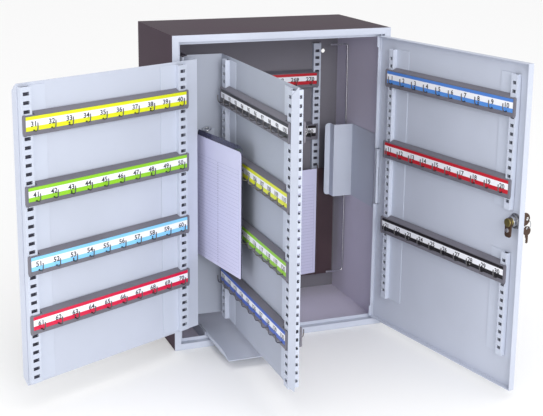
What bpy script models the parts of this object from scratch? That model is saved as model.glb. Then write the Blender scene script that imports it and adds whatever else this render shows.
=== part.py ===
"""Wall-hung steel key cabinet with an inset door and two hinged key leaves.

The shapes are written in cabinet coordinates: X from the left side, Y from the front
plane towards the wall, Z up from the underside.  The root empty moves them so that the
object's origin is the centre of the rear wall's outer face.
"""
import math

import bmesh
import bpy
from mathutils import Matrix, Vector

# ---- casing -------------------------------------------------------------------------
W, D, H = 0.398, 0.220, 0.550      # width, depth, height over all
SHEET = 0.0015                     # casing sheet
THIN = 0.0012                      # door, frame and leaf sheet
GAP = 0.0003                       # air between neighbouring pieces
BAND = 0.011                       # width of the frame's front band
REBATE = 0.012                     # depth of the step the door closes into
STOP = 0.0165                      # inset of the clear opening
FIX_X, FIX_Z, FIX_R = 0.032, 0.069, 0.004   # wall-fixing holes, from the corners

# ---- door ---------------------------------------------------------------------------
DOOR_PIN = (0.382, 0.0035)         # vertical axis of the door hinge
DOOR_OPEN = 100.4                  # degrees open at rest
DOOR_X = (-0.3695, 0.0030)         # free end and hinge end, from the pin
DOOR_Y = (-0.0030, 0.0070)         # outer skin and inner lip, from the pin
DOOR_Z = (0.0149, 0.5361)
SKIN = DOOR_Y[0] + THIN            # inner face of the door skin
HINGE_Z = (0.232, 0.332)           # middle hinge
KNUCKLE_R, BORE_R, HPIN_R = 0.0026, 0.0014, 0.0011
PIVOT_R, PIVOT_HOLE = 0.0012, 0.0015

# ---- lock ---------------------------------------------------------------------------
LOCK_AT = (-0.3525, 0.289)         # distance from the hinge pin, height
BARREL_R, PLUG_R = 0.0085, 0.0060
CAM_Y = (0.0119, 0.0139)
BOW_Y, BOW_R, BOW_HOLE_Y = -0.0205, 0.0105, -0.0265
RING_R, RING_WIRE = 0.0075, 0.0007

# ---- leaves: (pivot, short side, long side, degrees open) ---------------------------
LEAF_Z = (0.0465, 0.5115)
LEAF_1 = ((0.0245, 0.0217), 0.0337, 0.3510, 154.7)
LEAF_2 = ((0.0142, 0.0417), 0.0859, 0.3537, 90.75)
LIP = 0.012                        # folded free edge of a leaf
EDGE_CLEAR = 0.0057                # back strip to free edge, to swing past the door
TUBE_R, TUBE_BORE, PIN_R = 0.0035, 0.0022, 0.0018

# ---- slotted strips and key bars -----------------------------------------------------
STRIP_H, STRIP_T = 0.0085, 0.0010  # height of the hat section, sheet
STRIP_Z = (0.0505, 0.5070)
BAR_LEN, LABEL_D, LABEL_H, LIP_H = 0.320, 0.0120, 0.022, 0.007
BAR_BACK = 0.0091                  # back of the bar's front plate, off the sheet
HOOKS, PITCH, HOOK_W = 10, 0.0315, 0.0014
HOOK_Z = (-0.0211, -0.0080)        # root and tip below the label's top
DOOR_REACH, REACH = 0.0205, 0.0230 # how far hooks reach off the sheet
DOOR_BARS = (0.480, 0.353, 0.215)  # heights of the label tops
REAR_BARS = (0.441, 0.338)
LEAF_1_BARS = {"back": (0.464, 0.3585, 0.252, 0.159), "front": (0.464, 0.252)}
LEAF_2_BARS = {"front": (0.458, 0.3545, 0.249, 0.141), "back": (0.458, 0.144)}

# ---- index books ---------------------------------------------------------------------
BOOK_PIN, BOOK_TILT = (0.0205, 0.0336), 9.8     # in leaf 2's closed frame
BOOK_Z, BOOK_W = (0.168, 0.379), 0.1507
REAR_PIN, REAR_TILT = (0.346, 0.1885), 8.0
REAR_Z, REAR_W = (0.0433, 0.2555), 0.148

# ---- ledge -----------------------------------------------------------------------------
LEDGE_X, LEDGE_Y, LEDGE_Z = (0.061, 0.141), (-0.110, 0.050), (0.0168, 0.0180)

COLOURS = {
    "paint": (0.62, 0.63, 0.70, 1), "strip": (0.70, 0.71, 0.76, 1),
    "bar": (0.12, 0.11, 0.12, 1), "steel": (0.62, 0.62, 0.64, 1),
    "brass": (0.62, 0.46, 0.20, 1), "brown": (0.10, 0.07, 0.06, 1),
    "paper": (0.72, 0.72, 0.86, 1), "cover": (0.10, 0.10, 0.16, 1),
}


def clear_scene():
    for ob in list(bpy.data.objects):
        bpy.data.objects.remove(ob, do_unlink=True)
    for col in list(bpy.data.collections):
        bpy.data.collections.remove(col)
    made = {}
    for name in ("Key cabinet", "Cutters"):
        made[name] = bpy.data.collections.new(name)
        bpy.context.scene.collection.children.link(made[name])
    return made


COLLECTIONS = clear_scene()
AXES = {"x": Vector((1, 0, 0)), "y": Vector((0, 1, 0)), "z": Vector((0, 0, 1))}


def empty(name, parent, at=(0, 0, 0), turn=0.0):
    ob = bpy.data.objects.new(name, None)
    ob.empty_display_size = 0.02
    ob.location = at
    ob.rotation_euler = (0, 0, math.radians(turn))
    ob.parent = parent
    COLLECTIONS["Key cabinet"].objects.link(ob)
    return ob


# ---- mesh makers: each returns a bmesh ---------------------------------------------------
def prism(points, lo, hi, axis):
    """Flat outline extruded along an axis: (x, y) up z, (y, z) along x, (x, z) along y."""
    place = {"z": lambda a, b: (a, b, lo), "x": lambda a, b: (lo, a, b),
             "y": lambda a, b: (a, lo, b)}[axis]
    bm = bmesh.new()
    face = bm.faces.new([bm.verts.new(place(a, b)) for a, b in points])
    out = bmesh.ops.extrude_face_region(bm, geom=[face], use_keep_orig=True)
    moved = [item for item in out["geom"] if isinstance(item, bmesh.types.BMVert)]
    bmesh.ops.translate(bm, verts=moved, vec=AXES[axis] * (hi - lo))
    bmesh.ops.recalc_face_normals(bm, faces=bm.faces)
    return bm


def box(x, y, z):
    sides = Vector((x[1] - x[0], y[1] - y[0], z[1] - z[0]))
    centre = Vector((x[0] + x[1], y[0] + y[1], z[0] + z[1])) / 2
    bm = bmesh.new()
    bmesh.ops.create_cube(bm, size=1,
                          matrix=Matrix.Translation(centre) @ Matrix.Diagonal((*sides, 1)))
    return bm


def ring_sweep(profile, width, height):
    """(inset, y) profile swept round the four mitred corners of an upright rectangle."""
    bm = bmesh.new()
    loops = []
    for inset, y in profile:
        x0, x1, z0, z1 = inset, width - inset, inset, height - inset
        loops.append([bm.verts.new(p) for p in
                      ((x0, y, z0), (x1, y, z0), (x1, y, z1), (x0, y, z1))])
    for i, loop in enumerate(loops):
        after = loops[(i + 1) % len(loops)]
        for k in range(4):
            m = (k + 1) % 4
            bm.faces.new((loop[k], loop[m], after[m], after[k]))
    bmesh.ops.recalc_face_normals(bm, faces=bm.faces)
    return bm


def lathe(profile, steps, axis, at):
    """Closed (radius, along) profile spun about the z or y axis through a point."""
    bm = bmesh.new()
    if axis == "z":
        verts = [bm.verts.new((at[0] + r, at[1], t)) for r, t in profile]
    else:
        verts = [bm.verts.new((at[0] + r, t, at[1])) for r, t in profile]
    edges = [bm.edges.new((v, verts[(i + 1) % len(verts)])) for i, v in enumerate(verts)]
    cent = (at[0], at[1], 0) if axis == "z" else (at[0], 0, at[1])
    bmesh.ops.spin(bm, geom=verts + edges, cent=cent, axis=AXES[axis], dvec=(0, 0, 0),
                   angle=2 * math.pi, steps=steps, use_merge=True)
    bmesh.ops.remove_doubles(bm, verts=bm.verts, dist=0.000001)
    bmesh.ops.recalc_face_normals(bm, faces=bm.faces)
    return bm


def rod(at, r, lo, hi, axis, steps=12):
    """Round bar between two stations on an axis; at is its centre across that axis."""
    mid, spin = (lo + hi) / 2, {"z": None, "x": "Y", "y": "X"}[axis]
    centre = {"z": (at[0], at[1], mid), "x": (mid, at[0], at[1]),
              "y": (at[0], mid, at[1])}[axis]
    turn = Matrix.Rotation(math.pi / 2, 4, spin) if spin else Matrix.Identity(4)
    bm = bmesh.new()
    bmesh.ops.create_cone(bm, cap_ends=True, segments=steps, radius1=r, radius2=r,
                          depth=abs(hi - lo), matrix=Matrix.Translation(centre) @ turn)
    return bm


def torus(at, major, minor, axis, steps, sides):
    profile = [(major + minor * math.cos(2 * math.pi * k / sides),
                at[2] + minor * math.sin(2 * math.pi * k / sides)) for k in range(sides)]
    return lathe(profile, steps, axis, at[:2])


def joined(parts):
    bm = bmesh.new()
    for part in parts:
        mesh = bpy.data.meshes.new("tmp")
        part.to_mesh(mesh)
        part.free()
        bm.from_mesh(mesh)
        bpy.data.meshes.remove(mesh)
    return bm


# ---- objects ------------------------------------------------------------------------------
def add(name, bm, parent, colour, cutter=False):
    mesh = bpy.data.meshes.new(name)
    bm.to_mesh(mesh)
    bm.free()
    ob = bpy.data.objects.new(name, mesh)
    COLLECTIONS["Cutters" if cutter else "Key cabinet"].objects.link(ob)
    ob.parent = parent
    if cutter:
        ob.hide_render = True
        ob.display_type = "WIRE"
        return ob
    mat = bpy.data.materials.new(name)
    mat.use_nodes = True
    shader = mat.node_tree.nodes["Principled BSDF"]
    shader.inputs["Base Color"].default_value = COLOURS[colour]
    shader.inputs["Metallic"].default_value = 1.0 if colour in ("steel", "brass") else 0.0
    shader.inputs["Roughness"].default_value = 0.35
    mesh.materials.append(mat)
    return ob


def combine(ob, bm, operation):
    tool = add("cut_%s_%d" % (ob.name, len(ob.modifiers)), bm, ob.parent, None, cutter=True)
    mod = ob.modifiers.new(operation.title(), "BOOLEAN")
    mod.operation = operation
    mod.solver = "EXACT"
    mod.object = tool
    return ob


def strip(name, parent, face, side, high, flat, z):
    """Hat-section strip standing off a sheet: high (x, x) is the channel, flat its flange."""
    base, top = face + side * GAP, face + side * (GAP + STRIP_H)
    t = math.copysign(STRIP_T, flat - high[1])
    s = side * STRIP_T
    pts = [(high[0], base), (high[0], top), (high[1], top), (high[1], base + s),
           (flat, base + s), (flat, base), (high[1] - t, base), (high[1] - t, top - s),
           (high[0] + t, top - s), (high[0] + t, base)]
    return add(name, prism(pts, z[0], z[1], "z"), parent, "strip")


def bar(name, parent, face, side, x_low, inner, z_top, reach=REACH):
    """Key bar: front plate with a lower lip, sloped ledge back to the sheet, ten hooks."""
    def at(d, z):
        return face + side * d, z_top + z
    low = -LABEL_H - LIP_H
    plate = [at(BAR_BACK, 0.0012), at(LABEL_D, 0), at(LABEL_D, low), at(BAR_BACK, low)]
    ledge = [at(0.0016, 0.0050), at(0.0112, 0.0003), at(0.0112, -0.0030),
             at(0.0100, -0.0030), at(0.0016, 0.0035)]
    wire = HOOK_W
    hook = [at(LABEL_D - 0.0005, HOOK_Z[0]), at(reach - wire, HOOK_Z[0]),
            at(reach - wire, HOOK_Z[1]), at(reach, HOOK_Z[1]), at(reach, HOOK_Z[0] - wire),
            at(LABEL_D - 0.0005, HOOK_Z[0] - wire)]
    extras = [prism(ledge, inner[0], inner[1], "x")]
    for i in range(HOOKS):
        x = x_low + BAR_LEN / 2 + (i - (HOOKS - 1) / 2) * PITCH
        extras.append(prism(hook, x - HOOK_W / 2, x + HOOK_W / 2, "x"))
    ob = add(name, prism(plate, x_low, x_low + BAR_LEN, "x"), parent, "bar")
    return combine(ob, joined(extras), "UNION")


def casing(root):
    wrap = [(0, THIN + GAP), (SHEET, THIN + GAP), (SHEET, D), (0, D)]
    add("casing_wrap", ring_sweep(wrap, W, H), root, "paint")
    frame = [(0, 0), (BAND, 0), (BAND, REBATE), (STOP, REBATE), (STOP, REBATE + THIN),
             (BAND - THIN, REBATE + THIN), (BAND - THIN, THIN), (0, THIN)]
    front = add("front_frame", ring_sweep(frame, W, H), root, "paint")
    low, high = BAND - THIN / 2, H - BAND + THIN / 2
    pins = [rod(DOOR_PIN, PIVOT_R, a, b, "z") for a, b in ((low, 0.040), (0.510, high))]
    combine(front, joined(pins), "UNION")
    edge = SHEET + GAP
    rear = add("rear_wall", box((edge, W - edge), (D - SHEET, D), (edge, H - edge)),
               root, "paint")
    holes = [rod((x, z), FIX_R, D - 0.004, D + 0.003, "y", 16)
             for x in (FIX_X, W - FIX_X) for z in (FIX_Z, H - FIX_Z)]
    combine(rear, joined(holes), "DIFFERENCE")


def pivot_bracket(name, root, plate_z, pin_end, flange_z):
    """Plate on the left side with the pins both leaves turn on."""
    wall = SHEET + GAP
    ob = add(name, box((wall, 0.030), (0.0150, 0.0500), plate_z), root, "bar")
    extras = [box((wall, wall + THIN), (0.0150, 0.0500), flange_z)]
    inside = (plate_z[0] + plate_z[1]) / 2
    for pivot in (LEAF_1[0], LEAF_2[0]):
        extras.append(rod(pivot, PIN_R, min(inside, pin_end), max(inside, pin_end), "z"))
    combine(ob, joined(extras), "UNION")


def fittings(root):
    inner = D - SHEET
    for side, x in (("left", (0.055, 0.040, 0.025)), ("right", (0.343, 0.358, 0.373))):
        strip("rear_strip_" + side, root, inner, -1, (x[0], x[1]), x[2], (0.046, 0.497))
    for i, z in enumerate(REAR_BARS):
        bar("rear_bar_%d" % (i + 1), root, inner, -1, 0.039 - 0.006, (0.0555, 0.3425), z)
    pivot_bracket("pivot_bracket_top", root, (0.5135, 0.5147), 0.5015, (0.5140, 0.5310))
    pivot_bracket("pivot_bracket_bottom", root, (0.0433, 0.0445), 0.0565, (0.0190, 0.0440))
    wall = W - SHEET - GAP
    stop = [(wall, 0.0450), (wall, 0.1402), (0.3582, 0.1402), (0.3582, 0.1582),
            (0.3465, 0.1582), (0.3465, 0.1570), (0.3570, 0.1570), (0.3570, 0.1390),
            (wall - THIN, 0.1390), (wall - THIN, 0.0450)]
    z0, z1, cut = 0.211, 0.351, 0.006
    bracket = add("leaf_stop_bracket", prism(stop, z0, z1, "z"), root, "paint")
    corners = []
    for z, way in ((z0, 1), (z1, -1)):
        corners.append(prism([(0.3460, z - way * 0.001), (0.3465 + cut, z - way * 0.001),
                              (0.3465 + cut, z), (0.3465 + cut * 0.3, z + way * cut * 0.3),
                              (0.3465, z + way * cut), (0.3460, z + way * cut)],
                             0.1560, 0.1600, "y"))
    combine(bracket, joined(corners), "DIFFERENCE")
    wire_bail(root)
    guide = [(0.0593, 0.0018), (0.0605, 0.0018), (0.0605, 0.0153), (0.1415, 0.0153),
             (0.1415, 0.0018), (0.1427, 0.0018), (0.1427, 0.0220), (0.1415, 0.0220),
             (0.1415, 0.0165), (0.0605, 0.0165), (0.0605, 0.0220), (0.0593, 0.0220)]
    add("ledge_guide", prism(guide, 0.0138, 0.1700, "y"), root, "paint")


def wire_bail(root):
    """Bent wire beside the right wall, drawn as a polyline tube with filled ends."""
    y, r, x_out, x_in = 0.165, 0.005, 0.393, 0.3590
    low, high = 0.0505, 0.500
    pts = [(x_in, high)]
    for centre, start in (((x_out - r, high - r), 90), ((x_out - r, low + r), 0)):
        for k in range(5):
            a = math.radians(start - 22.5 * k)
            pts.append((centre[0] + r * math.cos(a), centre[1] + r * math.sin(a)))
    pts.append((x_in, low))
    curve = bpy.data.curves.new("wire_bail", "CURVE")
    curve.dimensions = "3D"
    curve.bevel_depth, curve.bevel_resolution, curve.use_fill_caps = 0.0015, 2, True
    line = curve.splines.new("POLY")
    line.points.add(len(pts) - 1)
    for point, (x, z) in zip(line.points, pts):
        point.co = (x, y, z, 1)
    ob = bpy.data.objects.new("wire_bail", curve)
    mesh = bpy.data.meshes.new_from_object(ob)
    bpy.data.objects.remove(ob)
    bm = bmesh.new()
    bm.from_mesh(mesh)
    bmesh.ops.remove_doubles(bm, verts=bm.verts, dist=0.00001)
    bmesh.ops.recalc_face_normals(bm, faces=bm.faces)
    add("wire_bail", bm, root, "steel")


def door_hinge(root, door):
    """Middle hinge: frame leaf, door leaf and pin."""
    x, y = DOOR_PIN
    z0, z1 = HINGE_Z
    a, b = z0 + 0.0337, z1 - 0.0337

    def tube(lo, hi, at):
        return lathe([(BORE_R, lo), (KNUCKLE_R, lo), (KNUCKLE_R, hi), (BORE_R, hi)],
                     12, "z", at)
    wall = W - BAND - GAP
    frame_leaf = add("hinge_frame_leaf",
                     box((wall - 0.0010, wall), (y + 0.0009, REBATE - GAP), (z0, z1)),
                     root, "steel")
    combine(frame_leaf, box((x + 0.0018, wall - 0.0005), (y + 0.0009, y + 0.0019), (a, b)),
            "UNION")
    combine(frame_leaf, tube(a, b, DOOR_PIN), "UNION")
    door_leaf = add("hinge_door_leaf", box((-0.0076, -0.0019), (-0.0015, -0.0005), (z0, z1)),
                    door, "steel")
    combine(door_leaf, box((-0.0040, 0.004), (-0.004, 0.004), (a - GAP, b + GAP)),
            "DIFFERENCE")
    for lo, hi in ((z0, a - GAP), (b + GAP, z1)):
        combine(door_leaf, tube(lo, hi, (0, 0)), "UNION")
    add("hinge_pin", rod(DOOR_PIN, HPIN_R, z0 - 0.001, z1 + 0.001, "z"), root, "steel")


def door_panel(door):
    pan = add("door_panel", box(DOOR_X, DOOR_Y, DOOR_Z), door, "paint")
    inner = box((DOOR_X[0] + THIN, DOOR_X[1] - THIN), (SKIN, DOOR_Y[1] + 0.005),
                (DOOR_Z[0] + THIN, DOOR_Z[1] - THIN))
    combine(pan, inner, "DIFFERENCE")
    trimmed = box((0.0001, 0.006), (0.0045, 0.012), (DOOR_Z[0] + 0.02, DOOR_Z[1] - 0.02))
    combine(pan, trimmed, "DIFFERENCE")
    z0, z1 = HINGE_Z
    combine(pan, box((-0.0040, 0.006), (-0.006, 0.012), (z0 - 0.002, z1 + 0.002)),
            "DIFFERENCE")
    combine(pan, rod((LOCK_AT[0], LOCK_AT[1]), BARREL_R + GAP, -0.006, 0.001, "y", 20),
            "DIFFERENCE")
    pins = [rod((0, 0), PIVOT_HOLE, z - 0.003, z + 0.003, "z") for z in DOOR_Z]
    combine(pan, joined(pins), "DIFFERENCE")
    strip("door_strip_hinge", door, SKIN, 1, (-0.0320, -0.0445), -0.078, (0.063, 0.517))
    for name, z in (("upper", (0.306, 0.517)), ("lower", (0.0655, 0.2360))):
        strip("door_strip_" + name, door, SKIN, 1, (-0.3470, -0.3335), -0.304, z)
    for i, z in enumerate(DOOR_BARS):
        bar("door_bar_%d" % (i + 1), door, SKIN, 1, -0.3485, (-0.3330, -0.0450), z,
            DOOR_REACH)


def disc_key(x_half, bow, bow_r, blade, hole):
    """Flat key in the y-z plane: round bow, blade given as a (y, z) box, ring hole."""
    return (rod(bow, bow_r, -x_half, x_half, "x", 20),
            prism([(blade[0], blade[2]), (blade[1], blade[2]), (blade[1], blade[3]),
                   (blade[0], blade[3])], -x_half, x_half, "x"),
            rod(hole[:2], hole[2], -0.004, 0.004, "x"))


def lock(door):
    at = empty("lock_axis", door, (LOCK_AT[0], 0, LOCK_AT[1]))
    body = [(PLUG_R + GAP, -0.0045), (0.0105, -0.0045), (0.0105, DOOR_Y[0] - GAP),
            (BARREL_R, DOOR_Y[0] - GAP), (BARREL_R, 0.0090), (PLUG_R + GAP, 0.0090)]
    add("lock_body", lathe(body, 20, "y", (0, 0)), at, "steel")
    for name, r, y in (("lock_rosette", 0.0125, (SKIN + GAP, -0.0005)),
                       ("lock_nut", 0.0108, (-0.0002, 0.0030))):
        ring = [(BARREL_R + GAP, y[0]), (r, y[0]), (r, y[1]), (BARREL_R + GAP, y[1])]
        add(name, lathe(ring, 20, "y", (0, 0)), at, "steel")
    turn = empty("lock_turn_axis", at)
    add("lock_plug", rod((0, 0), PLUG_R, -0.0050, 0.0116, "y", 20), turn, "brass")
    arc = [(0.007 * math.cos(math.radians(a)), 0.007 * math.sin(math.radians(a)))
           for a in range(0, 181, 30)]
    cam = add("lock_cam", prism(arc + [(-0.007, -0.021), (-0.004, -0.024), (0.004, -0.024),
                                 (0.007, -0.021)], CAM_Y[0], CAM_Y[1], "y"), turn, "brown")
    combine(cam, rod((0, 0), 0.0040, CAM_Y[1] - 0.001, 0.0168, "y", 6), "UNION")
    bow, blade, hole = disc_key(0.0010, (BOW_Y, 0), BOW_R,
                                (BOW_Y, -0.0050 - GAP, -0.0035, 0.0035),
                                (BOW_HOLE_Y, 0, 0.0030))
    key = add("key_in_lock", bow, turn, "brass")
    combine(combine(key, blade, "UNION"), hole, "DIFFERENCE")
    swing = empty("key_ring_axis", turn, (0, BOW_HOLE_Y, 0))
    add("key_ring", torus((0, -RING_R, 0), RING_R, RING_WIRE, "y", 18, 6), swing, "steel")
    hang = empty("spare_key_axis", swing, (0, 0, -2 * RING_R))
    bow, blade, hole = disc_key(0.0009, (0, -0.0045), 0.0075,
                                (-0.0028, 0.0028, -0.0250, -0.0060), (0, 0, 0.0022))
    spare = add("spare_key", bow, hang, "brown")
    combine(combine(spare, blade, "UNION"), hole, "DIFFERENCE")


def leaf(name, empty_at, short, length, bars, edge_clear):
    """L-shaped leaf with a tube on its pivot, strips and key bars on both faces."""
    half = THIN / 2
    sheet = [(-half, 0.0020), (half, 0.0020), (half, short - THIN),
             (length - THIN, short - THIN), (length - THIN, short - LIP),
             (length, short - LIP), (length, short), (-half, short)]
    panel = add(name + "_panel", prism(sheet, LEAF_Z[0], LEAF_Z[1], "z"), empty_at, "paint")
    combine(panel, rod((0, 0), TUBE_R, LEAF_Z[0], LEAF_Z[1], "z", 16), "UNION")
    mitre = [prism([(short - THIN - 0.0002, z), (short - 0.030, z + way * 0.030),
                    (short - 0.030, z - way * 0.010), (short - THIN - 0.0002, z - way * 0.010)],
                   length - 0.006, length + 0.006, "x")
             for z, way in ((LEAF_Z[0], 1), (LEAF_Z[1], -1))]
    bore = rod((0, 0), TUBE_BORE, LEAF_Z[0] - 0.01, LEAF_Z[1] + 0.01, "z")
    combine(panel, joined(mitre + [bore]), "DIFFERENCE")
    faces = {"back": (short, 1), "front": (short - THIN, -1)}
    for word, (face, side) in faces.items():
        end = length - (THIN + 0.0008 if side < 0 else edge_clear)
        tag = "%s_%s_" % (name, word)
        strip(tag + "strip_hinge", empty_at, face, side, (0.0295, 0.0475), 0.080, STRIP_Z)
        strip(tag + "strip_free", empty_at, face, side, (end, end - 0.0190), 0.302, STRIP_Z)
        for i, z in enumerate(bars[word]):
            bar(tag + "bar_%d" % (i + 1), empty_at, face, side, 0.0295, (0.0480, end - 0.0195), z)


def slab(start, angle, width, front, thick):
    """Plan outline of a thin sheet leaving a pin at an angle, set off it by front."""
    c, s = math.cos(math.radians(angle)), math.sin(math.radians(angle))
    corners = ((0.0018, front), (width, front), (width, front + thick), (0.0018, front + thick))
    return [(start[0] + a * c - b * s, start[1] + a * s + b * c) for a, b in corners]


def index_book(leaf_2):
    """Holder on the short side of leaf 2, ring, clear cover and a ruled page on a pin."""
    px, py = BOOK_PIN
    plate_x = (THIN / 2 + GAP, THIN / 2 + GAP + THIN)
    outline = [(plate_x[0], 0.016), (plate_x[1], 0.016), (plate_x[1], py - 0.0006),
               (px, py - 0.0006), (px, py + 0.0006),
               (plate_x[1], py + 0.0006), (plate_x[1], 0.071), (plate_x[0], 0.071)]
    holder = add("index_holder", prism(outline, 0.180, 0.382, "z"), leaf_2, "bar")
    combine(holder, rod(BOOK_PIN, 0.0012, 0.166, 0.3885, "z"), "UNION")
    add("index_ring", torus((0.0112, 0.0549, 0.378), 0.0072, 0.0009, "z", 16, 6),
        leaf_2, "steel")
    cover = slab(BOOK_PIN, BOOK_TILT, BOOK_W + 0.002, 0.0008, 0.0009)
    add("index_cover", prism(cover, BOOK_Z[0] - 0.001, BOOK_Z[1] + 0.0095, "z"), leaf_2,
        "cover")
    swing = empty("index_page_axis", leaf_2, (px, py, 0))
    page = slab((0, 0), BOOK_TILT, BOOK_W, -0.0003, 0.0008)
    add("index_page", prism(page, BOOK_Z[0], BOOK_Z[1], "z"), swing, "paper")


def rear_index(root):
    px, py = REAR_PIN
    board = add("rear_index_board", box((0.196, 0.381), (py + 0.0015, py + 0.0030),
                                        (0.0385, 0.2550)), root, "brown")
    combine(board, box((0.3695, 0.39), (py - 0.01, py + 0.01), (0.030, 0.0432)), "DIFFERENCE")
    combine(board, box((px - 0.0006, px + 0.0006), (py, py + 0.002), (0.0385, 0.2550)), "UNION")
    combine(board, rod(REAR_PIN, 0.0010, 0.0385, 0.2635, "z"), "UNION")
    swing = empty("rear_page_axis", root, (px, py, 0))
    page = slab((0, 0), 180 + REAR_TILT, REAR_W, -0.0004, 0.0008)
    add("rear_index_page", prism(page, REAR_Z[0], REAR_Z[1], "z"), swing, "paper")


def ledge(root):
    x0, x1 = LEDGE_X
    y0, y1 = LEDGE_Y
    tongue = add("ledge", box(LEDGE_X, LEDGE_Y, LEDGE_Z), root, "paint")
    cheek = [(y0 + 0.008, 0.0174), (y0 + 0.020, 0.0215), (y0 + 0.040, 0.0240),
             (y1 - 0.001, 0.0240), (y1 - 0.001, 0.0174)]
    sides = [prism(cheek, x0 + a, x0 + a + THIN, "x") for a in (0.0001, x1 - x0 - THIN - 0.0001)]
    combine(tongue, joined(sides), "UNION")


def main():
    root = empty("cabinet_frame", None, (-W / 2, -D, -H / 2))
    casing(root)
    fittings(root)
    ledge(root)
    rear_index(root)
    door = empty("door_axis", root, (*DOOR_PIN, 0), DOOR_OPEN)
    door_hinge(root, door)
    door_panel(door)
    lock(door)
    for name, data, bars in (("leaf_1", LEAF_1, LEAF_1_BARS), ("leaf_2", LEAF_2, LEAF_2_BARS)):
        pivot, short, length, opened = data
        axis = empty(name + "_axis", root, (*pivot, 0), -opened)
        leaf(name, axis, short, length, bars, 0.0010 if name == "leaf_1" else EDGE_CLEAR)
        if name == "leaf_2":
            index_book(axis)


main()
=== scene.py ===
"""Looks of the wall-hung key cabinet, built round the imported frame."""

import math

import bmesh
import bpy
from mathutils import Matrix, Vector


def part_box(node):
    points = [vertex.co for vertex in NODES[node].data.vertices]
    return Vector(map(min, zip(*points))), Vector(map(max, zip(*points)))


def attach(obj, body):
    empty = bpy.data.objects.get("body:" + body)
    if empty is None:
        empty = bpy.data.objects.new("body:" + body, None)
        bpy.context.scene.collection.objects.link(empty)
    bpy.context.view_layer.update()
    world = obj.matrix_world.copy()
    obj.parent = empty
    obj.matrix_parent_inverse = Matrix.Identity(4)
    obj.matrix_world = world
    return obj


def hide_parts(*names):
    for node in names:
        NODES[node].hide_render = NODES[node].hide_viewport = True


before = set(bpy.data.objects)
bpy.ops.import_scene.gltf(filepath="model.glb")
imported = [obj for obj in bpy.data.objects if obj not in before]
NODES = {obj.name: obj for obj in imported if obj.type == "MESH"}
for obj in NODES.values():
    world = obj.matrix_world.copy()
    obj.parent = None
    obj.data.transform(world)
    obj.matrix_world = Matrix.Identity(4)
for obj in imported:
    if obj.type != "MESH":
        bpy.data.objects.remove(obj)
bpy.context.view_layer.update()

# ---- frames and sizes, in metres: the cabinet has X right, Y towards the wall, Z up -----
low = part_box("casing_wrap")[0]
CAB = Matrix.Translation((low[0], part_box("front_frame")[0][1], low[2]))


def turned(at, degrees):
    return CAB @ Matrix.Translation((*at, 0)) @ Matrix.Rotation(math.radians(degrees), 4, "Z")


# Each moving part's frame has X along its panel from the hinge and Y across it, at rest.
DOOR = turned((0.382, 0.0035), 100.4)
LEAF_1 = turned((0.0245, 0.0217), -154.7)
LEAF_2 = turned((0.0142, 0.0417), -90.75)
LOCK = DOOR @ Matrix.Translation((-0.3525, 0, 0.289))
SKIN = -0.0018                       # inner face of the door skin
REAR = 0.2185                        # inner face of the rear wall
SHEET = 0.0012
LEAVES = {                           # frame, short side, long side, back strip's edge distance
    "leaf_1": (LEAF_1, 0.0337, 0.3510, 0.0010),
    "leaf_2": (LEAF_2, 0.0859, 0.3537, 0.0057),
}
STRIP_HIGH, STRIP_SHEET = 0.0088, 0.0010
SLOT_PITCH, SLOT_HIGH = 0.0132, 0.0052
BAR_LENGTH, HOOKS, HOOK_PITCH, HOOK_R = 0.320, 10, 0.0315, 0.0009
DIGIT_HIGH, DIGIT_WIDEN = 0.0080, 1.08


# ---- materials ----------------------------------------------------------------------------
def new_material(name):
    mat = bpy.data.materials.new(name)
    mat.use_nodes = True
    return mat, mat.node_tree, mat.node_tree.nodes["Principled BSDF"]


def node(tree, kind, **values):
    made = tree.nodes.new(kind)
    for key, value in values.items():
        if key in made.inputs:
            made.inputs[key].default_value = value
        else:
            setattr(made, key, value)
    return made


def grain(tree, shader, scale, strength, distance, stretch=(1, 1, 1)):
    """Fine bump from noise in object space."""
    coords = node(tree, "ShaderNodeTexCoord")
    mapping = node(tree, "ShaderNodeMapping")
    mapping.inputs["Scale"].default_value = stretch
    noise = node(tree, "ShaderNodeTexNoise", Scale=scale, Detail=3.0)
    bump = node(tree, "ShaderNodeBump", Strength=strength, Distance=distance)
    tree.links.new(coords.outputs["Object"], mapping.inputs["Vector"])
    tree.links.new(mapping.outputs["Vector"], noise.inputs["Vector"])
    tree.links.new(noise.outputs["Fac"], bump.inputs["Height"])
    tree.links.new(bump.outputs["Normal"], shader.inputs["Normal"])
    return mapping


def mottle(tree, shader, vector, dark, light, scale, rough):
    """Slow colour drift and uneven gloss."""
    noise = node(tree, "ShaderNodeTexNoise", Scale=scale, Detail=4.0)
    ramp = node(tree, "ShaderNodeValToRGB")
    ramp.color_ramp.elements[0].position, ramp.color_ramp.elements[1].position = 0.3, 0.7
    ramp.color_ramp.elements[0].color = (*dark, 1)
    ramp.color_ramp.elements[1].color = (*light, 1)
    gloss = node(tree, "ShaderNodeMapRange")
    gloss.inputs["To Min"].default_value, gloss.inputs["To Max"].default_value = rough
    tree.links.new(vector.outputs["Vector"], noise.inputs["Vector"])
    tree.links.new(noise.outputs["Fac"], ramp.inputs["Fac"])
    tree.links.new(ramp.outputs["Color"], shader.inputs["Base Color"])
    tree.links.new(noise.outputs["Fac"], gloss.inputs["Value"])
    tree.links.new(gloss.outputs["Result"], shader.inputs["Roughness"])


def surface(name, colour, rough, metal=0.0, spread=0.05, bump=(1400.0, 0.10, 0.0002),
            stretch=(1, 1, 1), drift=9.0, coat=0.0):
    mat, tree, shader = new_material(name)
    vector = grain(tree, shader, *bump, stretch)
    dark = [c * (1 - spread) for c in colour]
    light = [min(1.0, c * (1 + spread)) for c in colour]
    mottle(tree, shader, vector, dark, light, drift, rough)
    shader.inputs["Metallic"].default_value = metal
    shader.inputs["Coat Weight"].default_value = coat
    shader.inputs["Coat Roughness"].default_value = 0.25
    return mat


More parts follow.
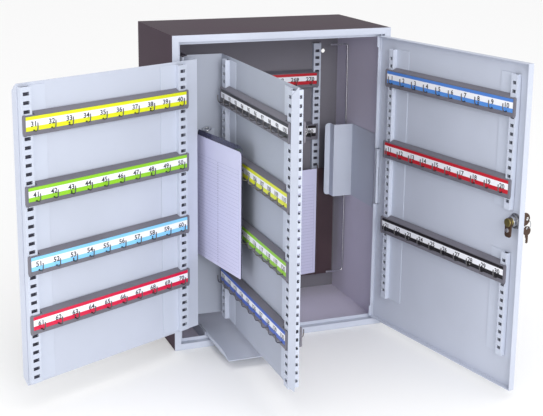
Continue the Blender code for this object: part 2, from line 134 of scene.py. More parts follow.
PAINT = surface("powder_paint", (0.50, 0.535, 0.63), (0.50, 0.62), spread=0.03)
# Darker copy of the powder paint for leaf 2's panel: painted shade standing in for the shade leaf
# 1 casts on it
PAINT_PAINTED_SHADE = surface("powder_paint_painted_shade", (0.39, 0.42, 0.50), (0.50, 0.62), spread=0.03)
STRIP = surface("strip_paint", (0.52, 0.56, 0.66), (0.44, 0.56), spread=0.03)
# Near-black sheet behind the strips' slots: painted shade for the dark inside of the hollow strips
SLOT_PAINTED_SHADE = surface("strip_painted_slot_shade", (0.07, 0.07, 0.10), (0.6, 0.7), spread=0.05)
OUTSIDE = (0.052, 0.032, 0.047)      # the casing's dark outer paint
BAR = surface("bar_grey", (0.15, 0.145, 0.175), (0.45, 0.58), spread=0.10,
              bump=(2600.0, 0.16, 0.0002))
DARK = surface("dark_paint", (0.045, 0.035, 0.05), (0.40, 0.52), spread=0.12)
STEEL = surface("bright_steel", (0.62, 0.62, 0.64), (0.20, 0.34), metal=1.0, spread=0.06,
                bump=(900.0, 0.08, 0.0002), stretch=(1, 1, 0.06))
WIRE = surface("hook_wire", (0.15, 0.145, 0.15), (0.22, 0.36), metal=1.0, spread=0.08)
ROSETTE = surface("grey_steel", (0.33, 0.33, 0.35), (0.30, 0.44), metal=1.0, spread=0.10)
BRASS = surface("brass", (0.33, 0.27, 0.10), (0.22, 0.38), metal=1.0, spread=0.12)
BROWN = surface("brown_steel", (0.085, 0.050, 0.035), (0.28, 0.42), metal=0.6, spread=0.2)
WHITE = surface("label_white", (0.86, 0.87, 0.92), (0.30, 0.40), spread=0.02)
INK = surface("print_black", (0.018, 0.018, 0.022), (0.35, 0.45), spread=0.1)
PAGE = surface("page_lavender", (0.60, 0.60, 0.80), (0.45, 0.6), spread=0.03)
DOTS = surface("page_dots", (0.16, 0.16, 0.30), (0.5, 0.6), spread=0.08)
RULE = surface("page_rules", (0.30, 0.31, 0.50), (0.5, 0.6), spread=0.08)
BOARD = surface("board_brown", (0.052, 0.030, 0.034), (0.24, 0.36), spread=0.2, coat=0.3)


def cover_material():
    """Dark see-through plastic of the index cover."""
    mat, tree, shader = new_material("cover_clear")
    vector = grain(tree, shader, 300.0, 0.05, 0.0003)
    mottle(tree, shader, vector, (0.045, 0.045, 0.085), (0.06, 0.06, 0.11), 12.0, (0.12, 0.22))
    shader.inputs["Alpha"].default_value = 0.86
    return mat


COVER = cover_material()


def casing_material(name, inside, limits):
    """Light grey paint that turns dark on faces beyond the given planes: (axis, sign, at)."""
    mat, tree, shader = new_material(name)
    vector = grain(tree, shader, 1400.0, 0.10, 0.0002)
    coords = node(tree, "ShaderNodeTexCoord")
    split = node(tree, "ShaderNodeSeparateXYZ")
    tree.links.new(coords.outputs["Object"], split.inputs["Vector"])
    mask = None
    for axis, sign, at in limits:
        beyond = node(tree, "ShaderNodeMath", operation="GREATER_THAN")
        flip = node(tree, "ShaderNodeMath", operation="MULTIPLY")
        flip.inputs[1].default_value = sign
        beyond.inputs[1].default_value = sign * at
        tree.links.new(split.outputs[axis], flip.inputs[0])
        tree.links.new(flip.outputs[0], beyond.inputs[0])
        if mask is None:
            mask = beyond
        else:
            both = node(tree, "ShaderNodeMath", operation="MAXIMUM")
            tree.links.new(mask.outputs[0], both.inputs[0])
            tree.links.new(beyond.outputs[0], both.inputs[1])
            mask = both
    noise = node(tree, "ShaderNodeTexNoise", Scale=7.0, Detail=4.0)
    tree.links.new(vector.outputs["Vector"], noise.inputs["Vector"])
    shades = []
    for tone, spread in ((inside, 0.04), (OUTSIDE, 0.16)):
        ramp = node(tree, "ShaderNodeValToRGB")
        for stop, place, way in zip(ramp.color_ramp.elements, (0.3, 0.7), (-1, 1)):
            stop.position = place
            stop.color = (*[c * (1 + way * spread) for c in tone], 1)
        tree.links.new(noise.outputs["Fac"], ramp.inputs["Fac"])
        shades.append(ramp)
    mix = node(tree, "ShaderNodeMix", data_type="RGBA")
    tree.links.new(mask.outputs[0], mix.inputs[0])
    tree.links.new(shades[0].outputs["Color"], mix.inputs[6])
    tree.links.new(shades[1].outputs["Color"], mix.inputs[7])
    tree.links.new(mix.outputs[2], shader.inputs["Base Color"])
    gloss = node(tree, "ShaderNodeMapRange")
    gloss.inputs["To Min"].default_value, gloss.inputs["To Max"].default_value = 0.30, 0.42
    tree.links.new(noise.outputs["Fac"], gloss.inputs["Value"])
    tree.links.new(gloss.outputs["Result"], shader.inputs["Roughness"])
    shader.inputs["Specular IOR Level"].default_value = 0.015
    return mat


LOW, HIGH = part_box("casing_wrap")
SKIN_DEPTH = 0.0007                  # the dark paint's mask reaches this far into the sheet
WRAP = casing_material("casing_two_tone", (0.60, 0.57, 0.68), (
    ("X", -1, LOW[0] + SKIN_DEPTH), ("X", 1, HIGH[0] - SKIN_DEPTH),
    ("Z", -1, LOW[2] + SKIN_DEPTH), ("Z", 1, HIGH[2] - SKIN_DEPTH)))
# The rear wall's inner tone is painted shade: far darker than the casing's inside paint, for the
# shade inside the cabinet; its outer tone is the dark outer paint
REAR_PAINTED_SHADE = casing_material("rear_two_tone_painted_shade", (0.185, 0.178, 0.205), (
    ("Y", 1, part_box("rear_wall")[1][1] - SKIN_DEPTH),))

LABEL_COLOURS = {
    "sky": ((0.08, 0.22, 0.62), (0.09, 0.27, 0.70)), "red": ((0.52, 0.012, 0.025),) * 2,
    "black": ((0.012, 0.010, 0.012),) * 2, "yellow": ((0.72, 0.76, 0.012),) * 2,
    "green": ((0.27, 0.60, 0.02),) * 2, "light_blue": ((0.24, 0.60, 0.92),) * 2,
    "crimson": ((0.66, 0.006, 0.055),) * 2, "blue": ((0.03, 0.10, 0.50),) * 2,
}
LABELS = {key: tuple(surface("label_%s_%d" % (key, i), c, (0.26, 0.36), spread=0.03)
                     for i, c in enumerate(pair)) for key, pair in LABEL_COLOURS.items()}


# ---- mesh makers ----------------------------------------------------------------------------
def piece(name, bm, where, body, materials, replaced=(), bevel=0.0, smooth=True):
    """A visible piece on its body, in place of the CAD nodes it stands for."""
    bmesh.ops.recalc_face_normals(bm, faces=bm.faces)
    mesh = bpy.data.meshes.new(name)
    bm.transform(where)
    bm.to_mesh(mesh)
    bm.free()
    for mat in materials if isinstance(materials, (list, tuple)) else [materials]:
        mesh.materials.append(mat)
    ob = bpy.data.objects.new(name, mesh)
    bpy.context.scene.collection.objects.link(ob)
    if bevel:
        mod = ob.modifiers.new("Edges", "BEVEL")
        mod.width, mod.segments, mod.limit_method = bevel, 2, "ANGLE"
        mod.angle_limit = math.radians(35)
    if smooth:
        mesh.shade_smooth()
        mod = ob.modifiers.new("Normals", "WEIGHTED_NORMAL")
        mod.keep_sharp = True
        for edge, angle in sharp_edges(mesh):
            edge.use_edge_sharp = angle
    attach(ob, body)
    if replaced:
        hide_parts(*replaced)
    return ob


def sharp_edges(mesh, limit=math.radians(38)):
    """Each edge with whether its faces meet at more than the limit."""
    normals = {}
    for poly in mesh.polygons:
        for key in poly.edge_keys:
            normals.setdefault(key, []).append(poly.normal.copy())
    for edge in mesh.edges:
        meeting = normals.get(tuple(sorted(edge.vertices)), [])
        yield edge, len(meeting) == 2 and meeting[0].angle(meeting[1], 0) > limit


def prism(bm, points, lo, hi, axis, material=0):
    """Outline extruded along an axis: (x, y) up z, (y, z) along x, (x, z) along y."""
    place = {"z": lambda a, b, t: (a, b, t), "x": lambda a, b, t: (t, a, b),
             "y": lambda a, b, t: (a, t, b)}[axis]
    rings = [[bm.verts.new(place(a, b, t)) for a, b in points] for t in (lo, hi)]
    faces = [bm.faces.new(rings[0]), bm.faces.new(rings[1])]
    for i in range(len(points)):
        j = (i + 1) % len(points)
        faces.append(bm.faces.new((rings[0][i], rings[0][j], rings[1][j], rings[1][i])))
    for face in faces:
        face.material_index = material
    return faces


def block(bm, x, y, z, material=0):
    return prism(bm, [(x[0], y[0]), (x[1], y[0]), (x[1], y[1]), (x[0], y[1])], z[0], z[1], "z",
                 material)


def tube(bm, path, r, sides=8):
    """Round wire along a list of points, with domed ends."""
    pts = [Vector(p) for p in path]
    first, last = (pts[0] - pts[1]).normalized(), (pts[-1] - pts[-2]).normalized()
    stations = [(pts[0] + first * r * 0.7, r * 0.55)] + [(p, r) for p in pts]
    stations += [(pts[-1] + last * r * 0.7, r * 0.55)]
    tangent = (stations[1][0] - stations[0][0]).normalized()
    side = tangent.orthogonal().normalized()
    rings = []
    for i, (p, radius) in enumerate(stations):
        ahead = stations[min(i + 1, len(stations) - 1)][0] - stations[max(i - 1, 0)][0]
        turn = tangent.rotation_difference(ahead.normalized())
        side, tangent = (turn @ side).normalized(), ahead.normalized()
        other = tangent.cross(side)
        rings.append([bm.verts.new(p + radius * (math.cos(a) * side + math.sin(a) * other))
                      for a in (2 * math.pi * k / sides for k in range(sides))])
    bm.faces.new(rings[0])
    bm.faces.new(rings[-1])
    for one, two in zip(rings, rings[1:]):
        for k in range(sides):
            m = (k + 1) % sides
            bm.faces.new((one[k], one[m], two[m], two[k]))


def loop_tube(bm, path, r, sides=8):
    """Closed round wire."""
    pts = [Vector(p) for p in path]
    count = len(pts)
    normal = (pts[1] - pts[0]).cross(pts[2] - pts[1]).normalized()
    rings = []
    for i, p in enumerate(pts):
        ahead = (pts[(i + 1) % count] - pts[i - 1]).normalized()
        side = ahead.cross(normal)
        rings.append([bm.verts.new(p + r * (math.cos(a) * side + math.sin(a) * normal))
                      for a in (2 * math.pi * k / sides for k in range(sides))])
    for i in range(count):
        one, two = rings[i], rings[(i + 1) % count]
        for k in range(sides):
            m = (k + 1) % sides
            bm.faces.new((one[k], one[m], two[m], two[k]))


def lathe(bm, profile, steps=40):
    """Closed (radius, y) profile turned about the y axis."""
    rings = [[bm.verts.new((r * math.cos(a), t, r * math.sin(a))) for r, t in profile]
             for a in (2 * math.pi * k / steps for k in range(steps))]
    for i in range(steps):
        one, two = rings[i], rings[(i + 1) % steps]
        for k in range(len(profile)):
            m = (k + 1) % len(profile)
            bm.faces.new((one[k], one[m], two[m], two[k]))


# ---- slotted strips ---------------------------------------------------------------------------
def strip(name, where, body, face, side, high, flat, z, walls=False):
    """Hat-section strip, slotted along its raised face and, with walls, its outer wall."""
    t = STRIP_SHEET
    base, top = face + side * (0.0003 + t / 2), face + side * (STRIP_HIGH - t / 2)
    out = math.copysign(t / 2, high[1] - high[0])
    x0, x1 = high[0] + out, high[1] - out
    width = x1 - x0
    a, b = x0 + width * 0.2, x1 - width * 0.2
    section = [(x0, base), (x0, base + (top - base) * 0.3), (x0, base + (top - base) * 0.8),
               (x0, top), (a, top), (b, top), (x1, top), (x1, base), (flat, base)]
    outer_wall, raised_face = 1, 4       # the section's segments that may be slotted
    count = int((z[1] - z[0] - 0.006) / SLOT_PITCH)
    start = (z[0] + z[1]) / 2 - count * SLOT_PITCH / 2
    levels = [(z[0], False)]
    for i in range(count):
        levels += [(start + i * SLOT_PITCH + (SLOT_PITCH - SLOT_HIGH) / 2, True),
                   (start + i * SLOT_PITCH + (SLOT_PITCH + SLOT_HIGH) / 2, False)]
    levels.append((z[1], False))
    bm = bmesh.new()
    rows = [[bm.verts.new((x, y, level)) for x, y in section] for level, _ in levels]
    for r in range(len(rows) - 1):
        for c in range(len(section) - 1):
            if levels[r][1] and (c == raised_face or walls and c == outer_wall):
                continue
            bm.faces.new((rows[r][c], rows[r][c + 1], rows[r + 1][c + 1], rows[r + 1][c]))
    ob = piece(name + "_slotted", bm, where, body, STRIP, (name,), smooth=False)
    # A dark sheet just off the panel behind the slots: painted shade for the strip's dark inside,
    # not a real part
    bm = bmesh.new()
    block(bm, sorted((x0 + out * 1.6, x1 - out * 1.6)),
          sorted((face + side * 0.0004, face + side * 0.0009)), (z[0] + 0.001, z[1] - 0.001))
    piece(name + "_painted_slot_shade", bm, where, body, SLOT_PAINTED_SHADE)
    solid = ob.modifiers.new("Sheet", "SOLIDIFY")
    solid.thickness, solid.offset, solid.use_even_offset = t, 0.0, True
    edges = ob.modifiers.new("Edges", "BEVEL")
    edges.width, edges.segments, edges.limit_method = 0.0003, 2, "ANGLE"
    edges.angle_limit = math.radians(35)


# ---- key bars -----------------------------------------------------------------------------------
GLYPHS = {}


def glyphs(text):
    """Numerals as flat triangles, centred, one unit high."""
    if text not in GLYPHS:
        curve = bpy.data.curves.new("numeral", "FONT")
        curve.body, curve.align_x, curve.align_y = text, "CENTER", "CENTER"
        curve.resolution_u, curve.offset = 3, 0.022
        ob = bpy.data.objects.new("numeral", curve)
        bpy.context.scene.collection.objects.link(ob)
        bpy.context.view_layer.update()
        mesh = bpy.data.meshes.new_from_object(ob)
        ys = [v.co.y for v in mesh.vertices]
        tall, mid = max(ys) - min(ys), (max(ys) + min(ys)) / 2
        GLYPHS[text] = ([Vector((v.co.x / tall, (v.co.y - mid) / tall)) for v in mesh.vertices],
                        [tuple(p.vertices) for p in mesh.polygons])
        bpy.data.objects.remove(ob)
        bpy.data.curves.remove(curve)
        bpy.data.meshes.remove(mesh)
    return GLYPHS[text]


def key_bar(name, where, body, face, side, x_low, inner, z_top, colour, first, reach=0.0230):
    """Bar with end caps, a colour-banded label with numerals, and its hooks.

    Profiles are (distance off the face, height from z_top)."""
    def at(d, z):
        return face + side * d, z_top + z
    x_high, right = x_low + BAR_LENGTH, -side
    centre = x_low + BAR_LENGTH / 2
    places = [centre + (i - (HOOKS - 1) / 2) * HOOK_PITCH for i in range(HOOKS)]
    bm = bmesh.new()
    plate = [(0.0092, 0.0014), (0.0116, 0.0010), (0.0121, 0.0002), (0.0121, -0.0003),
             (0.0114, -0.0006), (0.0114, -0.0220), (0.0121, -0.0223), (0.0124, -0.0234),
             (0.0121, -0.0276), (0.0112, -0.0289), (0.0092, -0.0289)]
    prism(bm, [at(*p) for p in plate], x_low + 0.0012, x_high - 0.0012, "x")
    ledge = [(0.0016, 0.0052), (0.0024, 0.0054), (0.0112, 0.0013), (0.0112, 0.0000),
             (0.0016, 0.0040)]
    prism(bm, [at(*p) for p in ledge], inner[0], inner[1], "x")
    skirt = [(0.0060, -0.0275), (0.0100, -0.0275), (0.0100, -0.0288), (0.0052, -0.0288)]
    prism(bm, [at(*p) for p in skirt], inner[0] + 0.002, inner[1] - 0.002, "x")
    for end, way in ((x_low, 1), (x_high, -1)):
        cap = [(0.0, 0.0), (0.0006, 0.0014), (0.0018, 0.0022), (0.0042, 0.0022),
               (0.0042, -0.0292), (0.0030, -0.0292), (0.0010, -0.0276), (0.0, -0.0250)]
        y = sorted((face + side * 0.0093, face + side * 0.0126))
        outline = [(end + way * a, z_top + b) for a, b in cap]
        prism(bm, outline, y[0], y[1], "y")
    piece(name + "_holder", bm, where, body, BAR, (name,), bevel=0.00035)

    bm = bmesh.new()
    bands = ((-0.0007, -0.0058, 1), (-0.0058, -0.0154, 0), (-0.0154, -0.0219, 2))
    for z1, z0, index in bands:
        y = sorted((face + side * 0.01125, face + side * 0.0119))
        block(bm, (x_low + 0.0044, x_high - 0.0044), y, (z_top + z0, z_top + z1), index)
    for i, x in enumerate(places):
        number = i if right > 0 else HOOKS - 1 - i
        verts, polys = glyphs(str(first + number))
        made = [bm.verts.new((x + right * v.x * DIGIT_HIGH * DIGIT_WIDEN, face + side * 0.01197,
                              z_top - 0.0119 + v.y * DIGIT_HIGH)) for v in verts]
        for poly in polys:
            bm.faces.new([made[k] for k in poly]).material_index = 3
    mats = [WHITE, *LABELS[colour], INK]
    piece(name + "_label", bm, where, body, mats, smooth=False)

    bm = bmesh.new()
    tip = reach - HOOK_R
    path = [(0.0105, -0.0212), (0.0128, -0.0216), (tip - 0.0052, -0.0218),
            (tip - 0.0024, -0.0209), (tip - 0.0007, -0.0186), (tip - 0.0002, -0.0158),
            (tip, -0.0130), (tip, -0.0088)]
    for x in places:
        tube(bm, [(x, *at(*p)) for p in path], HOOK_R)
        block(bm, (x - 0.0014, x + 0.0014), sorted((at(0.0117, 0)[0], at(0.0122, 0)[0])),
              (z_top - 0.0226, z_top - 0.0204), 1)
    for x in (centre - 0.079, centre + 0.079):
        tube(bm, [(x, *at(0.0116, -0.0186)), (x, *at(0.0124, -0.0186))], 0.0015)
    piece(name + "_hooks", bm, where, body, [WIRE, INK])


def cad(name, mat, bevel=0.0004):
    """A CAD node that stays, with its own material and softened edges."""
    ob = NODES[name]
    if not ob.material_slots:
        ob.data.materials.append(mat)
    for material_slot in ob.material_slots:
        material_slot.material = mat
    if bevel:
        mod = ob.modifiers.new("Edges", "BEVEL")
        mod.width, mod.segments, mod.limit_method = bevel, 2, "ANGLE"
        mod.angle_limit = math.radians(35)


# ---- the pieces ---------------------------------------------------------------------------
def casing():
    """The CAD sheets stay as they are, painted and with softened edges."""
    cad("casing_wrap", WRAP, 0.0005)
    # The rear wall's darker inner tone is painted shade
    cad("rear_wall", REAR_PAINTED_SHADE, 0.0004)
    # Leaf 2's panel takes the darker copy of the paint: painted shade, not a different paint
    cad("leaf_2_panel", PAINT_PAINTED_SHADE, 0.0004)
    for name in ("front_frame", "door_panel", "leaf_1_panel",
                 "leaf_stop_bracket", "ledge", "ledge_guide", "index_holder"):
        cad(name, PAINT, 0.0004)
    for name in ("pivot_bracket_top", "pivot_bracket_bottom"):
        cad(name, DARK, 0.0003)
    for name in ("hinge_frame_leaf", "hinge_door_leaf"):
        cad(name, STRIP, 0.0002)
    cad("hinge_pin", STEEL, 0.0002)


def strips():
    strip("rear_strip_left", CAB, "cabinet", REAR, -1, (0.055, 0.040), 0.037, (0.046, 0.497))
    strip("rear_strip_right", CAB, "cabinet", REAR, -1, (0.343, 0.358), 0.361, (0.046, 0.497))
    for tag, high, flat, z in (("hinge", (-0.0320, -0.0445), -0.078, (0.063, 0.517)),
                               ("upper", (-0.3470, -0.3335), -0.304, (0.306, 0.517)),
                               ("lower", (-0.3470, -0.3335), -0.304, (0.0655, 0.2360))):
        strip("door_strip_" + tag, DOOR, "door", SKIN, 1, high, flat, z)
    for leaf, (where, short, length, edge_clear) in LEAVES.items():
        for word, face, side in (("back", short, 1), ("front", short - SHEET, -1)):
            end = length - (SHEET + 0.0008 if side < 0 else edge_clear)
            tag, z = "%s_%s_strip_" % (leaf, word), (0.0505, 0.5070)
            strip(tag + "hinge", where, leaf, face, side, (0.0295, 0.0475), 0.080, z)
            strip(tag + "free", where, leaf, face, side, (end, end - 0.0190), 0.302, z,
                  tag.startswith("leaf_2_back"))


def bars():
    """Each row is (height of the bar's top, label colour, first number)."""
    for i, (z, colour, first) in enumerate(((0.480, "sky", 1), (0.353, "red", 11),
                                            (0.215, "black", 21))):
        key_bar("door_bar_%d" % (i + 1), DOOR, "door", SKIN, 1, -0.3485, (-0.3330, -0.0450), z,
                colour, first, 0.0205)
    for i, (z, colour, first) in enumerate(((0.441, "red", 261), (0.338, "black", 271))):
        key_bar("rear_bar_%d" % (i + 1), CAB, "cabinet", REAR, -1, 0.033, (0.0555, 0.3425), z,
                colour, first)
    sides = (
        ("leaf_1", "back", ((0.464, "yellow", 31), (0.3585, "green", 41),
                            (0.252, "light_blue", 51), (0.159, "crimson", 61))),
        ("leaf_1", "front", ((0.464, "black", 71), (0.252, "yellow", 81))),
        ("leaf_2", "front", ((0.458, "black", 91), (0.3545, "yellow", 101),
                             (0.249, "green", 111), (0.141, "blue", 121))),
        ("leaf_2", "back", ((0.458, "sky", 131), (0.144, "red", 141))))
    for leaf, word, rows in sides:
        where, short = LEAVES[leaf][:2]
        face, side = (short, 1) if word == "back" else (short - SHEET, -1)
        for i, (z, colour, first) in enumerate(rows):
            key_bar("%s_%s_bar_%d" % (leaf, word, i + 1), where, leaf, face, side, 0.0295,
                    (0.0480, 0.3280), z, colour, first)


def lock():
    """Lock, key in it, key ring and spare key; profiles are (radius, y through the door)."""
    bm = bmesh.new()
    lathe(bm, [(0.0063, -0.0046), (0.0095, -0.0046), (0.0105, -0.0040), (0.0105, -0.0033),
               (0.0085, -0.0033), (0.0085, 0.0085), (0.0080, 0.0090), (0.0063, 0.0090)])
    piece("lock_barrel", bm, LOCK, "door", STEEL, ("lock_body",), 0.0002)
    bm = bmesh.new()
    lathe(bm, [(0.0088, -0.0015), (0.0125, -0.0015), (0.0125, -0.0011), (0.0116, -0.0005),
               (0.0088, -0.0005)])
    piece("lock_collar", bm, LOCK, "door", ROSETTE, ("lock_rosette",), 0.0001)
    bm = bmesh.new()
    lathe(bm, [(0.0088, -0.0002), (0.0102, -0.0002), (0.0108, 0.0006), (0.0108, 0.0022),
               (0.0102, 0.0030), (0.0088, 0.0030)])
    for k in range(12):
        a = 2 * math.pi * k / 12
        tube(bm, [(0.0106 * math.cos(a), 0.0004, 0.0106 * math.sin(a)),
                  (0.0106 * math.cos(a), 0.0026, 0.0106 * math.sin(a))], 0.0004, 6)
    piece("lock_ring_nut", bm, LOCK, "door", ROSETTE, ("lock_nut",))
    bm = bmesh.new()
    lathe(bm, [(0.0, -0.0050), (0.0055, -0.0050), (0.0060, -0.0045), (0.0060, 0.0100),
               (0.0048, 0.0116), (0.0, 0.0116)])
    piece("lock_cylinder", bm, LOCK, "lock", BRASS, ("lock_plug",))
    bm = bmesh.new()
    arc = [(0.007 * math.cos(math.radians(a)), 0.007 * math.sin(math.radians(a)))
           for a in range(0, 181, 15)]
    prism(bm, arc + [(-0.0068, -0.0205), (-0.0050, -0.0232), (-0.0025, -0.0240),
                     (0.0025, -0.0240), (0.0050, -0.0232), (0.0068, -0.0205)],
          0.0119, 0.0139, "y", 0)
    prism(bm, [(0.0036 * math.cos(math.radians(a)), 0.0036 * math.sin(math.radians(a)) - 0.0125)
               for a in range(30, 390, 60)], 0.0139, 0.0160, "y", 1)
    prism(bm, [(0.0068 * math.cos(math.radians(a)), 0.0068 * math.sin(math.radians(a)))
               for a in range(0, 360, 12)], 0.0139, 0.0160, "y", 2)
    piece("lock_cam_plate", bm, LOCK, "lock", [BROWN, STEEL, BRASS],
          ("lock_cam",), 0.0004)
    key_shape("key_one", LOCK, "lock", BROWN, "key_in_lock", (-0.0205, 0), 0.0105,
              (-0.0265, 0), 0.0030, (-0.0125, -0.0053, 0.0035), 0.0010, "y")
    swing = LOCK @ Matrix.Translation((0, -0.0265, 0))
    bm = bmesh.new()
    loop_tube(bm, [(0.0075 * math.sin(a), 0, -0.0075 + 0.0075 * math.cos(a))
                   for a in (2 * math.pi * k / 36 for k in range(36))], 0.0007)
    piece("key_ring_wire", bm, swing, "key_ring", STEEL, ("key_ring",))
    hang = swing @ Matrix.Translation((0, 0, -0.015))
    key_shape("key_two", hang, "spare_key", BROWN, "spare_key", (0, -0.0045),
              0.0075, (0, 0), 0.0022, (-0.0110, -0.0250, 0.0028), 0.0009, "z")


def key_shape(name, where, body, mat, replaced, bow, bow_r, hole, hole_r, blade, half,
              along):
    """Flat key in the y-z plane: a ring-shaped bow with its hole, then a toothed blade."""
    steps = 40
    outer = [(bow[0] + bow_r * math.cos(2 * math.pi * k / steps),
              bow[1] + bow_r * math.sin(2 * math.pi * k / steps)) for k in range(steps)]
    inner = [(hole[0] + hole_r * math.cos(2 * math.pi * k / steps),
              hole[1] + hole_r * math.sin(2 * math.pi * k / steps)) for k in range(steps)]
    bm = bmesh.new()
    loops = {(ring, side): [bm.verts.new((side * half, a, b)) for a, b in pts]
             for ring, pts in (("o", outer), ("i", inner)) for side in (-1, 1)}
    for k in range(steps):
        m = (k + 1) % steps
        for one, two in ((("o", -1), ("o", 1)), (("o", 1), ("i", 1)), (("i", 1), ("i", -1)),
                         (("i", -1), ("o", -1))):
            bm.faces.new((loops[one][k], loops[one][m], loops[two][m], loops[two][k]))
    start, end, w = blade
    length = end - start
    teeth = [(0.0, -w), (0.0, w), (0.30, w), (0.36, w * 0.35), (0.46, w * 0.7), (0.54, w * 0.1),
             (0.64, w * 0.75), (0.74, w * 0.25), (0.84, w * 0.65), (0.95, w * 0.3),
             (1.0, -w * 0.2), (0.94, -w * 0.85), (0.85, -w)]
    if along == "y":
        outline = [(start + length * a, b) for a, b in ((0, -w), (0, w), (1, w), (1, -w))]
    else:
        outline = [(b, start + length * a) for a, b in teeth]
    prism(bm, outline, -half * 0.9, half * 0.9, "x")
    piece(name, bm, where, body, mat, (replaced,), 0.0003)


def ruled_page(name, where, body, width, z, front, replaced):
    """Ruled index sheet in its own plane: x from the pin outwards, front is its print side."""
    bm = bmesh.new()
    t = 0.0008
    y0 = -0.0004
    r = 0.007
    corners = [(0.0018, z[1]), (0.0018, z[0]), (width - 0.0010, z[0]), (width, z[0] + 0.0010)]
    corners += [(width - r + r * math.cos(a), z[1] - r + r * math.sin(a))
                for a in (math.radians(15 * k) for k in range(7))]
    prism(bm, corners, y0, y0 + t, "y", 0)
    face = y0 - 0.00005 if front < 0 else y0 + t + 0.00005
    ya, yb = sorted((face, face - 0.00004 * front))
    height = z[1] - z[0]
    top, foot = z[1] - height * 0.15, z[0] + height * 0.03
    rows = 29
    line = 0.00035
    for i in range(rows):
        level = foot + (top - foot) * i / (rows - 1)
        block(bm, (0.007, width - 0.0065), (ya, yb), (level - line / 2, level + line / 2), 1)
    for x in (0.007, width - 0.0065):
        block(bm, (x - line / 2, x + line / 2), (ya, yb), (foot, top), 1)
    dots = 44
    for i in range(dots):
        level = foot + (top - foot) * (i + 0.5) / dots
        block(bm, (width / 2 - 0.0007, width / 2 + 0.0007), (ya, yb),
              (level - 0.0011, level + 0.0011), 2)
    piece(name, bm, where, body, [PAGE, RULE, DOTS], (replaced,), smooth=False)


def rounded_plate(name, where, body, x, y, z, radius, mat, replaced):
    """Upright plate with four round corners."""
    bm = bmesh.new()
    corners = []
    for cx, cz, a0 in ((x[1] - radius, z[1] - radius, 0), (x[0] + radius, z[1] - radius, 90),
                       (x[0] + radius, z[0] + radius, 180), (x[1] - radius, z[0] + radius, 270)):
        corners += [(cx + radius * math.cos(math.radians(a0 + s)),
                     cz + radius * math.sin(math.radians(a0 + s))) for s in range(0, 91, 15)]
    prism(bm, corners, y[0], y[1], "y")
    piece(name, bm, where, body, mat, (replaced,), 0.0003)


def index_books():
    """Index on leaf 2 with its ring and cover, and the ruled page at the rear wall."""
    page = LEAF_2 @ Matrix.Translation((0.0205, 0.0336, 0)) @ Matrix.Rotation(
        math.radians(9.8), 4, "Z")
    rounded_plate("index_cover_sheet", page, "leaf_2", (0.0020, 0.1580), (0.0008, 0.0017),
                  (0.1675, 0.3885), 0.008, COVER, "index_cover")
    ruled_page("index_sheet", page, "index_page", 0.1570, (0.168, 0.379), -1, "index_page")
    bm = bmesh.new()
    x, y, z, tilt = 0.0112, 0.0549, 0.3845, 0.2
    loops = [[bm.verts.new((x + r * math.cos(a), y + r * math.sin(a),
                            z + h + tilt * r * (math.sin(a) - math.cos(a))))
              for a in (2 * math.pi * k / 40 for k in range(40))]
             for r, h in ((0.0075, -0.0009), (0.0081, 0.0), (0.0075, 0.0009), (0.0042, 0.0009),
                          (0.0036, 0.0), (0.0042, -0.0009))]
    for i, one in enumerate(loops):
        two = loops[(i + 1) % len(loops)]
        for k in range(40):
            m = (k + 1) % 40
            bm.faces.new((one[k], one[m], two[m], two[k]))
    tube(bm, [(0.0020, 0.0549, 0.3745), (0.0042, 0.0549, 0.3745), (0.0052, 0.0549, 0.3765),
              (0.0052, 0.0549, 0.3795), (0.0040, 0.0549, 0.3812), (0.0020, 0.0549, 0.3812)],
         0.0006)
    piece("index_ring_wire", bm, LEAF_2, "leaf_2", STEEL, ("index_ring",))
    rear = CAB @ Matrix.Translation((0.346, 0.1885, 0)) @ Matrix.Rotation(
        math.radians(188), 4, "Z")
    ruled_page("rear_index_sheet", rear, "rear_page", 0.148, (0.0433, 0.2555), 1,
               "rear_index_page")
    cad("rear_index_board", BOARD, 0.0004)


def wire_bail():
    """Bent wire beside the right wall."""
    y, r, x_out, x_in, z0, z1 = 0.165, 0.005, 0.393, 0.3590, 0.0505, 0.500
    path = [(x_in, y, z1)]
    for centre, start in (((x_out - r, z1 - r), 90), ((x_out - r, z0 + r), 0)):
        for k in range(9):
            a = math.radians(start - 11.25 * k)
            path.append((centre[0] + r * math.cos(a), y, centre[1] + r * math.sin(a)))
    path.append((x_in, y, z0))
    bm = bmesh.new()
    tube(bm, path, 0.0014, 12)
    piece("bent_wire", bm, CAB, "cabinet", STEEL, ("wire_bail",))


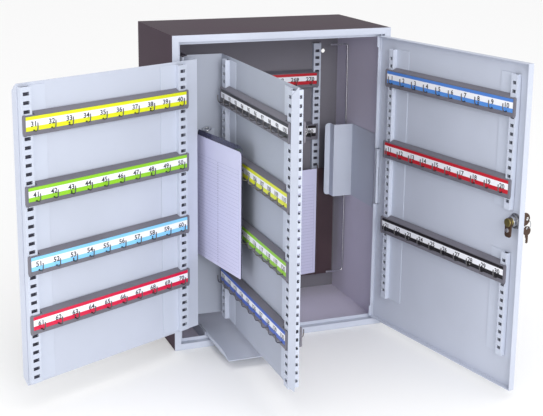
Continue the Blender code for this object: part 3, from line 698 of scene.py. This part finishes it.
def studio():
    """White floor, even surroundings, two soft lamps and a wide overhead light."""
    floor = bmesh.new()
    block(floor, (-30, 30), (-30, 30), (-0.012, -0.0004))
    mesh = bpy.data.meshes.new("floor")
    floor.transform(Matrix.Translation((0, 0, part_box("casing_wrap")[0][2])))
    floor.to_mesh(mesh)
    floor.free()
    mat, tree, shader = new_material("floor_pale")
    shader.inputs["Base Color"].default_value = (0.95, 0.95, 0.95, 1)
    shader.inputs["Roughness"].default_value = 0.9
    mesh.materials.append(mat)
    ob = bpy.data.objects.new("floor", mesh)
    bpy.context.scene.collection.objects.link(ob)
    world = bpy.data.worlds.new("studio")
    world.use_nodes = True
    world.node_tree.nodes["Background"].inputs["Color"].default_value = (1.0, 1.0, 1.0, 1)
    world.node_tree.nodes["Background"].inputs["Strength"].default_value = 0.72
    bpy.context.scene.world = world
    bpy.context.scene.view_settings.view_transform = "Standard"
    for name, at, aim, size, power, tint in (
            ("key", (-0.5, -3.4, 0.9), (0, -0.2, 0), 1.4, 58, (1.0, 1.0, 1.0)),
            ("fill", (-3.2, -1.6, 0.1), (0.1, -0.3, 0), 1.6, 18, (0.96, 0.97, 1.0))):
        data = bpy.data.lights.new(name, "AREA")
        data.size, data.energy, data.color = size, power, tint
        lamp = bpy.data.objects.new(name, data)
        lamp.location = at
        lamp.rotation_euler = (Vector(aim) - Vector(at)).to_track_quat("-Z", "Y").to_euler()
        bpy.context.scene.collection.objects.link(lamp)
    data = bpy.data.lights.new("overhead", "SUN")
    data.energy, data.angle = 0.9, math.radians(70)
    lamp = bpy.data.objects.new("overhead", data)
    lamp.rotation_euler = (math.radians(12), 0, 0)
    bpy.context.scene.collection.objects.link(lamp)


def camera():
    """Looks slightly down from the front left, with a small shift for the framing."""
    data = bpy.data.cameras.new("camera")
    data.sensor_width, data.lens = 36.0, 75.0961
    data.shift_x, data.shift_y = 0.0296, -0.1000
    data.clip_end = 200
    ob = bpy.data.objects.new("camera", data)
    ob.location = (-0.7150, -1.9927, 0.5113)
    turn = Matrix.Rotation(math.radians(-20.490), 4, "Z") @ Matrix.Rotation(
        math.radians(76.784), 4, "X") @ Matrix.Rotation(math.radians(0.430), 4, "Z")
    ob.rotation_euler = turn.to_euler()
    bpy.context.scene.collection.objects.link(ob)
    bpy.context.scene.camera = ob


camera()
studio()
casing()
strips()
bars()
lock()
index_books()
wire_bail()
